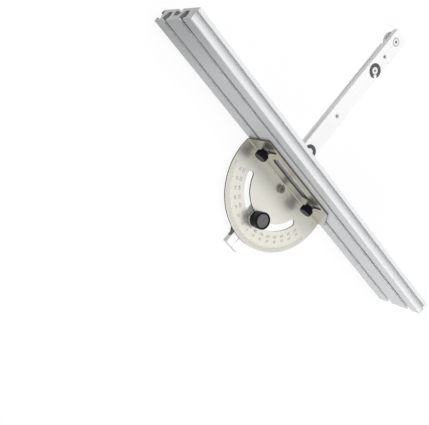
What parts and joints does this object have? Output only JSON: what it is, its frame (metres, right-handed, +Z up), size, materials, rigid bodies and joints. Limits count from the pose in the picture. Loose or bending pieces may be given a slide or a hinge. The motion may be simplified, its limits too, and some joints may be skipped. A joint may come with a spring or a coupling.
{
  "type": "miter gauge",
  "caption": "Table saw miter gauge: guide bar with expansion rings, half-round protractor plate with arc slot and bent flange, and a slotted fence clamped to the flange.",
  "frame": {"origin": "pivot axis of the head at the top face of the guide bar, which is level with the saw table", "axes": "+X along the fence towards the flange's cut-off corner, +Y along the guide bar to its far end, +Z up from the table"},
  "size_m": [0.43, 0.309, 0.0738],
  "materials": {
    "bar_aluminium": "satin silver anodised",
    "fence_aluminium": "fine drawn, silver anodised",
    "plate_steel": "brushed stainless sheet",
    "plain_steel": "plain zinc plated",
    "dark_steel": "black oxide",
    "bright_steel": "bright nickel plated",
    "bronze": "machined",
    "ring_black": "charcoal moulded nylon",
    "knob_black": "gloss black moulding",
    "cap_grey": "satin grey moulded cap"
  },
  "bodies": {
    "bar": {"guide_bar": "bar_aluminium", "hold_down_washer_near": "dark_steel", "hold_down_washer_far": "dark_steel", "hold_down_screw_near": "bright_steel", "hold_down_screw_far": "bright_steel", "split_ring_near": "ring_black", "split_ring_far": "ring_black", "pivot_screw": "dark_steel", "lock_stud": "plain_steel"},
    "head": {"protractor_plate": "plate_steel", "pivot_bush": "bronze", "spring_washer": "plain_steel"},
    "lock": {"lock_knob": "knob_black", "lock_insert": "bronze", "lock_cap": "cap_grey", "lock_washer": "bright_steel"},
    "clamps": {"clamp_bolt_left": "plain_steel", "clamp_bolt_right": "plain_steel", "clamp_washer_left": "dark_steel", "clamp_washer_right": "dark_steel"},
    "left_knob": {"clamp_knob_left": "knob_black", "clamp_insert_left": "bronze"},
    "right_knob": {"clamp_knob_right": "knob_black", "clamp_insert_right": "bronze"},
    "fence": {"fence": "fence_aluminium"},
    "near_taper_screw": {"taper_screw_near": "bright_steel"},
    "far_taper_screw": {"taper_screw_far": "bright_steel"},
    "near_set_screw": {"set_screw_near": "plain_steel"},
    "far_set_screw": {"set_screw_far": "plain_steel"}
  },
  "joints": [
    {"name": "head_swivel", "type": "hinge", "parent": "bar", "child": "head", "pos_m": [0, 0, 0.001], "axis": [0, 0, 1], "range_deg": [-70, 70]},
    {"name": "lock_turn", "type": "hinge", "parent": "bar", "child": "lock", "pos_m": [0, -0.0415, 0.008], "axis": [0, 0, 1], "range_deg": [0, 270]},
    {"name": "fence_lift", "type": "slide", "parent": "head", "child": "clamps", "axis": [0, 0, 1], "range_m": [0, 0.0135]},
    {"name": "fence_slide", "type": "slide", "parent": "clamps", "child": "fence", "axis": [1, 0, 0], "range_m": [-0.15, 0.15]},
    {"name": "left_clamp_turn", "type": "hinge", "parent": "clamps", "child": "left_knob", "pos_m": [-0.0523, 0.001, 0.0173], "axis": [0, -1, 0], "range_deg": [0, 270]},
    {"name": "right_clamp_turn", "type": "hinge", "parent": "clamps", "child": "right_knob", "pos_m": [0.0326, 0.001, 0.0173], "axis": [0, -1, 0], "range_deg": [0, 270]},
    {"name": "near_taper_turn", "type": "hinge", "parent": "bar", "child": "near_taper_screw", "pos_m": [0.0017, 0.053, -0.004], "axis": [0, 0, 1], "range_deg": [-90, 90]},
    {"name": "far_taper_turn", "type": "hinge", "parent": "bar", "child": "far_taper_screw", "pos_m": [0.0017, 0.1745, -0.004], "axis": [0, 0, 1], "range_deg": [-90, 90]},
    {"name": "near_set_turn", "type": "hinge", "parent": "bar", "child": "near_set_screw", "pos_m": [0, 0.104, -0.004], "axis": [0, 0, 1], "range_deg": [-180, 180]},
    {"name": "far_set_turn", "type": "hinge", "parent": "bar", "child": "far_set_screw", "pos_m": [0, 0.1945, -0.004], "axis": [0, 0, 1], "range_deg": [-180, 180]}
  ]
}
